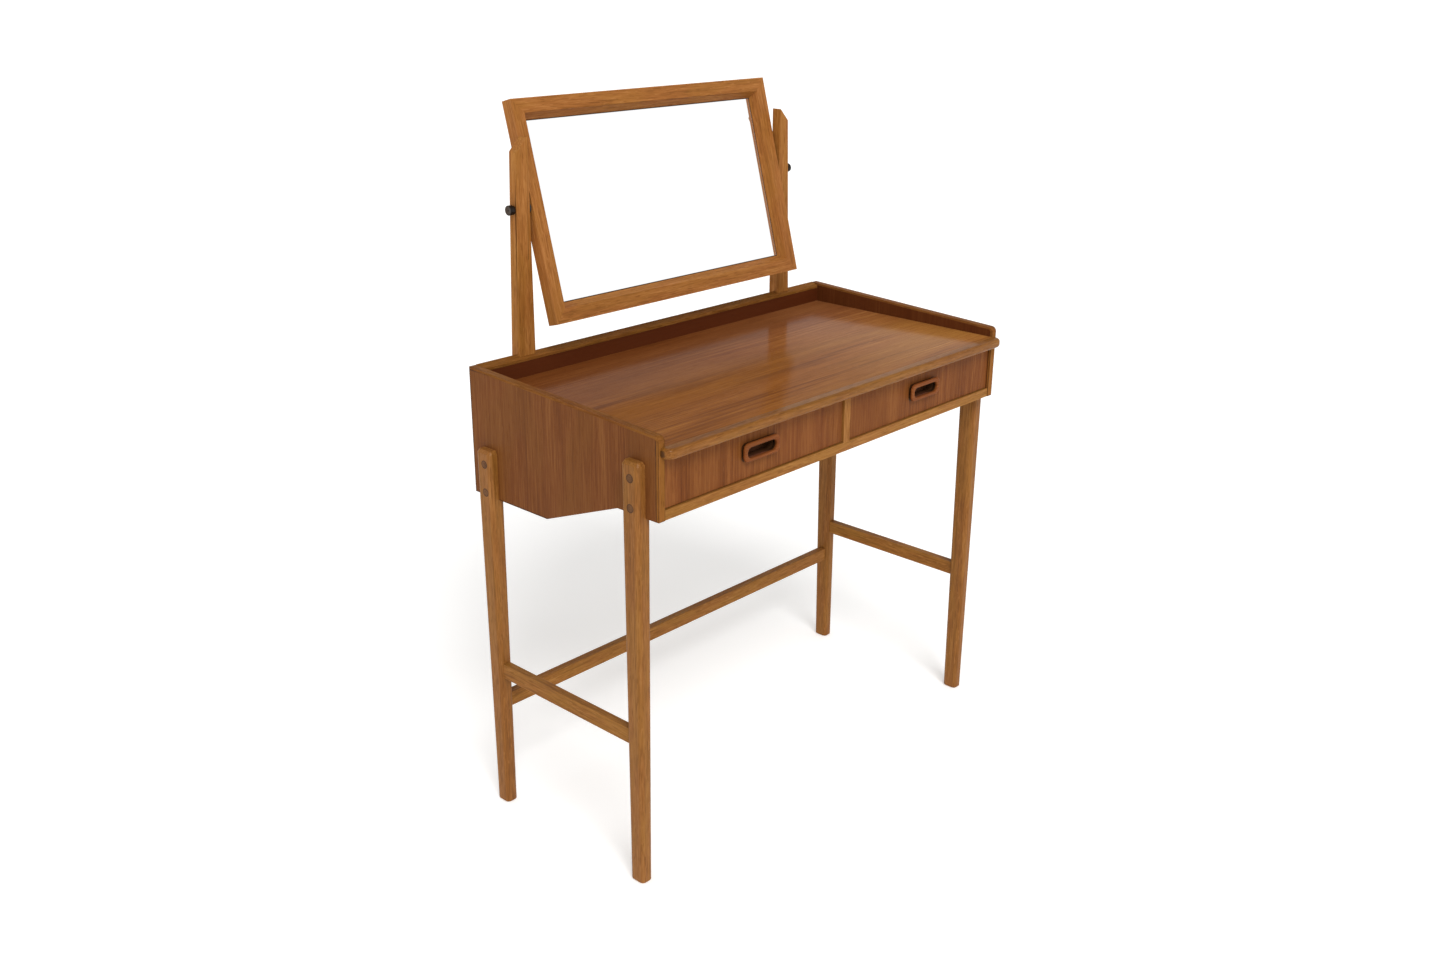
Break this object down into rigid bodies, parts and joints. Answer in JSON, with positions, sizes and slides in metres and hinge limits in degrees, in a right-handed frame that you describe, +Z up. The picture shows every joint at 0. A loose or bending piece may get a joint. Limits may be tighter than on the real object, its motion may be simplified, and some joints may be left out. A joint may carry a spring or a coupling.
{
  "type": "vanity table with mirror",
  "caption": "Teak and oak vanity table: shallow case with drawers, raised edges, slender notched legs with stretchers, and a framed mirror tilting between posts.",
  "frame": {"origin": "on the floor, in the middle of the width and depth of the whole object as stored", "axes": "+X to the sitter's right, +Y to the back, +Z up"},
  "size_m": [0.88, 0.4862, 1.1463],
  "materials": {
    "teak": "oiled teak veneer, satin",
    "oak": "aged solid oak, satin oil",
    "drawer_wood": "planed light hardwood, matt",
    "board": "hardboard and thin plywood, matt",
    "mirror": "silvered float glass",
    "plug": "dark end-grain plug",
    "steel": "plain steel",
    "brass": "dull brass",
    "washer": "dark fibre",
    "knob": "black moulded knob, worn"
  },
  "bodies": {
    "table": {"back_panel": "teak", "back_stretcher": "oak", "bottom_rail": "oak", "centre_partition": "drawer_wood", "drawer_divider": "oak", "drawer_runners_left": "drawer_wood", "drawer_runners_right": "drawer_wood", "drawer_stops": "drawer_wood", "dust_board": "board", "edge_lipping_left": "oak", "edge_lipping_right": "oak", "front_lip": "oak", "gallery_lipping": "oak", "leg_back_left": "oak", "leg_back_right": "oak", "leg_front_left": "oak", "leg_front_right": "oak", "leg_plugs": "plug", "leg_screws": "steel", "mirror_post_left": "oak", "mirror_post_right": "oak", "post_screws": "steel", "side_panel_left": "teak", "side_panel_right": "teak", "side_stretcher_left": "oak", "side_stretcher_right": "oak", "table_top": "teak"},
    "drawer_left": {"drawer_back_left": "drawer_wood", "drawer_bottom_left": "board", "drawer_front_left": "teak", "drawer_handle_left": "teak", "drawer_side_inner_left": "drawer_wood", "drawer_side_outer_left": "drawer_wood"},
    "drawer_right": {"drawer_back_right": "drawer_wood", "drawer_bottom_right": "board", "drawer_front_right": "teak", "drawer_handle_right": "teak", "drawer_side_inner_right": "drawer_wood", "drawer_side_outer_right": "drawer_wood"},
    "mirror": {"clip_screws": "steel", "friction_washer_left": "washer", "friction_washer_right": "washer", "mirror_backing": "board", "mirror_clips": "brass", "mirror_glass": "mirror", "mirror_rail_bottom": "oak", "mirror_rail_top": "oak", "mirror_stile_left": "oak", "mirror_stile_right": "oak", "threaded_insert_left": "brass", "threaded_insert_right": "brass"},
    "knob_left": {"knob_left": "knob", "knob_stud_left": "steel"},
    "knob_right": {"knob_right": "knob", "knob_stud_right": "steel"}
  },
  "joints": [
    {"name": "drawer_left_slide", "type": "slide", "parent": "table", "child": "drawer_left", "axis": [0, -1, 0], "range_m": [0, 0.3]},
    {"name": "drawer_right_slide", "type": "slide", "parent": "table", "child": "drawer_right", "axis": [0, -1, 0], "range_m": [0, 0.3]},
    {"name": "mirror_tilt", "type": "hinge", "parent": "table", "child": "mirror", "pos_m": [0, 0.19089, 0.9844], "axis": [1, 0, 0], "range_deg": [-74, 105]},
    {"name": "knob_left_turn", "type": "hinge", "parent": "mirror", "child": "knob_left", "pos_m": [-0.327, 0.19089, 0.9844], "axis": [-1, 0, 0], "range_deg": [0, 180]},
    {"name": "knob_right_turn", "type": "hinge", "parent": "mirror", "child": "knob_right", "pos_m": [0.327, 0.19089, 0.9844], "axis": [1, 0, 0], "range_deg": [0, 180]}
  ]
}
